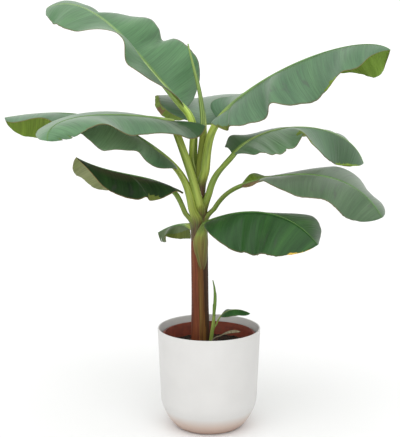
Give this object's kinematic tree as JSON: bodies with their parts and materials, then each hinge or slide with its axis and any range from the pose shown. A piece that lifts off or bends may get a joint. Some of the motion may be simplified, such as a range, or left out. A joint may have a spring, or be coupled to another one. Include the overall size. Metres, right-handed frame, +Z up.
{
  "type": "potted banana plant",
  "caption": "Potted banana plant with a sheathed trunk, broad arching leaves, a rolled new leaf and a small sucker, standing in a round white planter.",
  "frame": {"origin": "middle of the planter's flat underside", "axes": "+Z up along the trunk, +X to the right and +Y to the back as the picture shows the plant"},
  "size_m": [0.8227, 0.6514, 0.9609],
  "materials": {
    "planter": "satin moulded white",
    "nursery_pot": "matte red brown",
    "potting_soil": "loose crumbs",
    "leaf_sheath": "satin, dry at the edges",
    "leaf_stalk": "waxy satin",
    "leaf_blade": "waxy satin",
    "new_growth": "waxy satin",
    "withered_leaf": "dry matte"
  },
  "bodies": {
    "root": {"pot": "planter", "nursery_pot": "nursery_pot", "soil": "potting_soil", "trunk": "leaf_sheath", "rolled_leaf": "new_growth", "top_left_leaf_stalk": "leaf_stalk", "top_left_leaf_rib": "leaf_stalk", "top_left_leaf_left_half": "leaf_blade", "top_left_leaf_right_half": "leaf_blade", "top_right_leaf_stalk": "leaf_stalk", "top_right_leaf_rib": "leaf_stalk", "top_right_leaf_left_half": "leaf_blade", "top_right_leaf_right_half": "leaf_blade", "front_left_leaf_stalk": "leaf_stalk", "front_left_leaf_rib": "leaf_stalk", "front_left_leaf_left_half": "leaf_blade", "front_left_leaf_right_half": "leaf_blade", "far_left_leaf_stalk": "leaf_stalk", "far_left_leaf_rib": "leaf_stalk", "far_left_leaf_left_half": "leaf_blade", "far_left_leaf_right_half": "leaf_blade", "low_left_leaf_stalk": "leaf_stalk", "low_left_leaf_rib": "leaf_stalk", "low_left_leaf_left_half": "leaf_blade", "low_left_leaf_right_half": "leaf_blade", "back_left_leaf_stalk": "leaf_stalk", "back_left_leaf_rib": "leaf_stalk", "back_left_leaf_left_half": "leaf_blade", "back_left_leaf_right_half": "leaf_blade", "mid_right_leaf_stalk": "leaf_stalk", "mid_right_leaf_rib": "leaf_stalk", "mid_right_leaf_left_half": "leaf_blade", "mid_right_leaf_right_half": "leaf_blade", "low_right_leaf_stalk": "leaf_stalk", "low_right_leaf_rib": "leaf_stalk", "low_right_leaf_left_half": "leaf_blade", "low_right_leaf_right_half": "leaf_blade", "front_right_leaf_stalk": "leaf_stalk", "front_right_leaf_rib": "leaf_stalk", "front_right_leaf_left_half": "leaf_blade", "front_right_leaf_right_half": "leaf_blade", "back_leaf_stalk": "leaf_stalk", "back_leaf_rib": "leaf_stalk", "back_leaf_left_half": "leaf_blade", "back_leaf_right_half": "leaf_blade", "sucker_stem": "new_growth", "sucker_rolled_leaf": "new_growth", "sucker_leaf_stalk": "new_growth", "sucker_withered_leaf_stalk": "withered_leaf", "sucker_leaf_rib": "new_growth", "sucker_withered_leaf_rib": "withered_leaf", "sucker_leaf_left_half": "leaf_blade", "sucker_withered_leaf_left_half": "withered_leaf", "sucker_leaf_right_half": "leaf_blade", "sucker_withered_leaf_right_half": "withered_leaf"}
  },
  "joints": []
}
